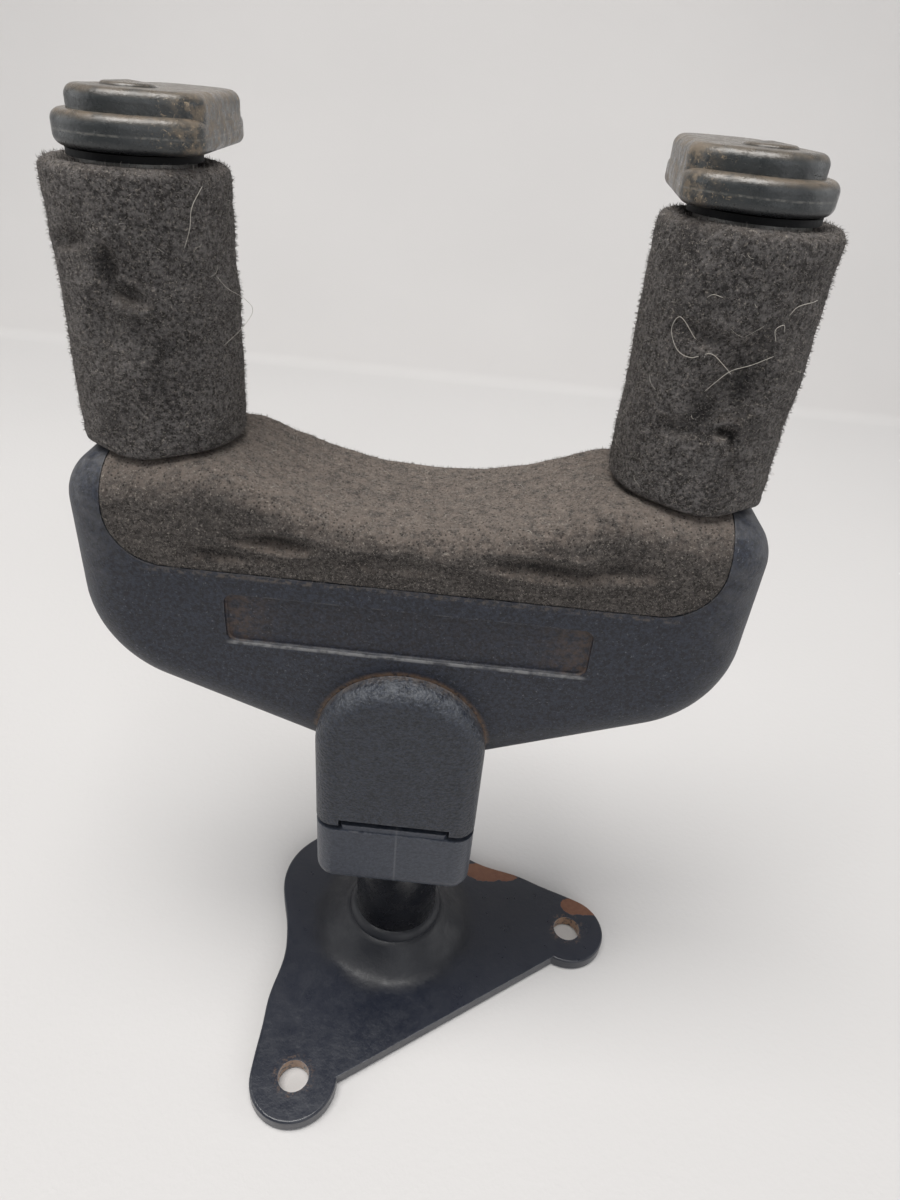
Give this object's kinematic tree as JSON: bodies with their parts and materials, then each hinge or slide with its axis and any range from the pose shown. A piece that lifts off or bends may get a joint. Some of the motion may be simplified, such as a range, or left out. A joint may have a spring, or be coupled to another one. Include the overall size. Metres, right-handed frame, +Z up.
{
  "type": "wall guitar hanger",
  "caption": "Wall hanger for a guitar: padded fork with weight-operated neck gates on a swivelling arm and a triangular metal wall plate.",
  "frame": {"origin": "on the wall plane where the arm tube's axis meets it", "axes": "+Y into the wall, -Y out along the arm towards the prongs, +Z up, +X to the right for a person facing the wall; the yoke is level at rest"},
  "size_m": [0.1128, 0.1745, 0.0807],
  "materials": {
    "plate_paint": "semi-gloss powder coat, worn edges",
    "tube_paint": "gloss black",
    "zinc_steel": "zinc plated",
    "core_metal": "as cast",
    "yoke_plastic": "fine grain, dusty",
    "cover_plastic": "matt black",
    "collar_plastic": "smooth",
    "gate_plastic": "worn, scuffed",
    "bush_nylon": "black nylon",
    "foam": "fuzzy foam, dusty"
  },
  "bodies": {
    "wall_mount": {"wall_plate": "plate_paint", "arm_tube": "tube_paint", "tube_weld": "plate_paint", "tube_plug": "zinc_steel", "friction_washer": "bush_nylon", "bolt_washer": "zinc_steel", "swivel_bolt": "zinc_steel"},
    "swivel": {"swivel_core": "core_metal", "swivel_bush": "bush_nylon", "collar": "collar_plastic", "arch_cover": "cover_plastic", "under_cover": "cover_plastic", "drive_bar": "zinc_steel", "drive_bar_screws": "zinc_steel", "return_spring_right": "zinc_steel", "return_spring_left": "zinc_steel"},
    "yoke": {"yoke_top_shell": "yoke_plastic", "yoke_bottom_shell": "yoke_plastic", "saddle_pad": "foam", "shell_screws": "zinc_steel", "tube_set_screws": "zinc_steel", "prong_tube_right": "zinc_steel", "prong_tube_left": "zinc_steel", "foam_sleeve_right": "foam", "foam_sleeve_left": "foam", "gate_bushes_right": "bush_nylon", "gate_bushes_left": "bush_nylon"},
    "gate_right": {"gate_finger_right": "gate_plastic", "gate_shaft_right": "zinc_steel", "gate_crank_right": "zinc_steel", "crank_pin_right": "zinc_steel", "crank_roll_pin_right": "zinc_steel", "gate_screw_right": "zinc_steel", "gate_plug_right": "gate_plastic"},
    "gate_left": {"gate_finger_left": "gate_plastic", "gate_shaft_left": "zinc_steel", "gate_crank_left": "zinc_steel", "crank_pin_left": "zinc_steel", "crank_roll_pin_left": "zinc_steel", "gate_screw_left": "zinc_steel", "gate_plug_left": "gate_plastic"}
  },
  "joints": [
    {"name": "head_swivel", "type": "hinge", "parent": "wall_mount", "child": "swivel", "pos_m": [0, -0.05, 0], "axis": [0, 1, 0], "continuous": true},
    {"name": "yoke_drop", "type": "slide", "parent": "swivel", "child": "yoke", "axis": [0, 0, -1], "range_m": [0, 0.007], "stiffness_N_per_m": 400, "springref_m": -0.004, "deforming": ["return_spring_right", "return_spring_left"]},
    {"name": "gate_right_turn", "type": "hinge", "parent": "yoke", "child": "gate_right", "pos_m": [0.0425, -0.13, 0], "axis": [0, 1, 0], "range_deg": [0, 80.01]},
    {"name": "gate_left_turn", "type": "hinge", "parent": "yoke", "child": "gate_left", "pos_m": [-0.0425, -0.13, 0], "axis": [0, 1, 0], "range_deg": [-80.01, 0]}
  ],
  "couplings": [
    {"joint": "gate_right_turn", "follows": "yoke_drop", "rad_per_m": 199.47},
    {"joint": "gate_left_turn", "follows": "yoke_drop", "rad_per_m": -199.47}
  ]
}
